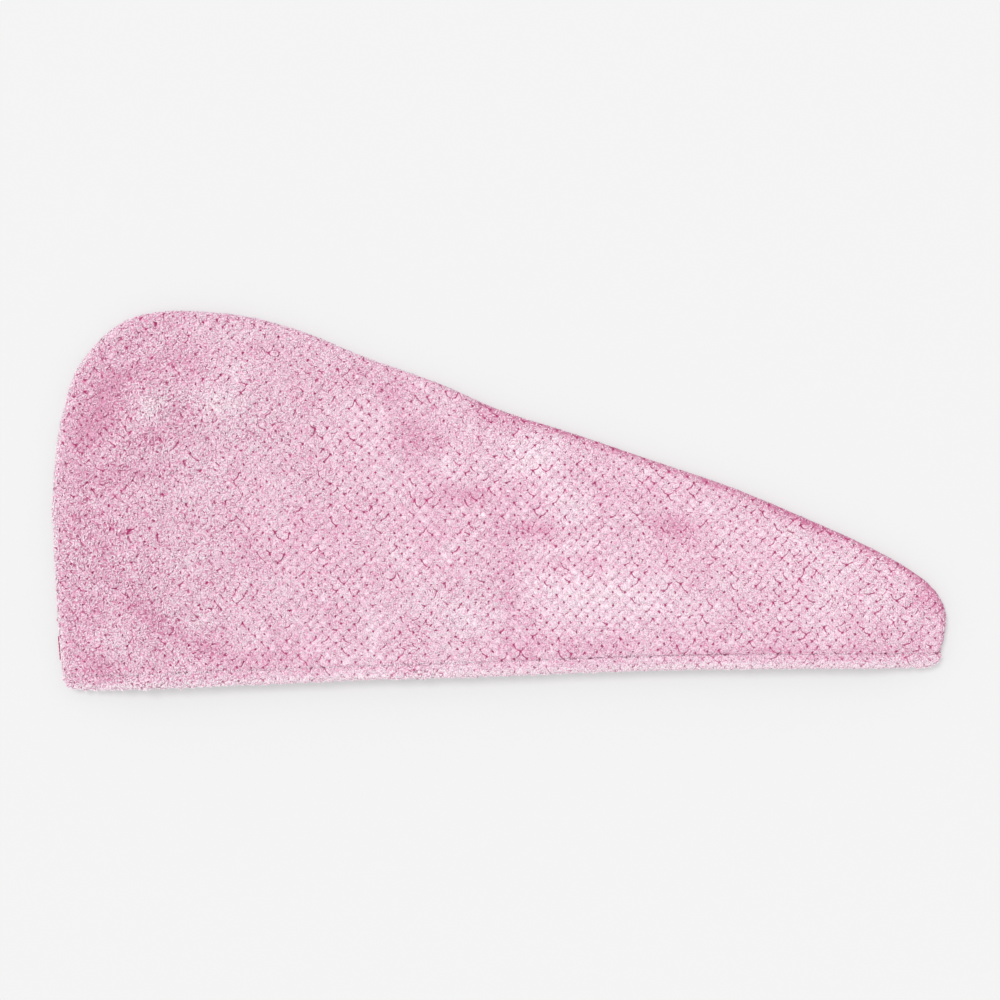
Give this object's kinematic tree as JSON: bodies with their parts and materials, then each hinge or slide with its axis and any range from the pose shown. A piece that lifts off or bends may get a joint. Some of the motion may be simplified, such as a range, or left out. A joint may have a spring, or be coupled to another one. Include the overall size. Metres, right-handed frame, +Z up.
{
  "type": "hair turban towel",
  "caption": "Hair turban towel lying flat: two pile cloth panels sewn into a tapering hood with a long tail, a hemmed opening for the head and a button under the nape corner.",
  "frame": {"origin": "middle of the towel's outline, on the surface that it lies on", "axes": "+X from the head end to the tip of the tail, +Y from the open side to the crown, +Z up"},
  "size_m": [0.6498, 0.2762, 0.0179],
  "materials": {
    "pile_cloth": "deep soft pile, knitted in small diamonds",
    "seam_cloth": "overlocked cloth edge in darker thread",
    "button_plastic": "polished"
  },
  "bodies": {
    "root": {"upper_panel": "pile_cloth", "lower_panel": "pile_cloth", "edge_seam": "seam_cloth", "upper_hem": "pile_cloth", "lower_hem": "pile_cloth", "button": "button_plastic"}
  },
  "joints": []
}
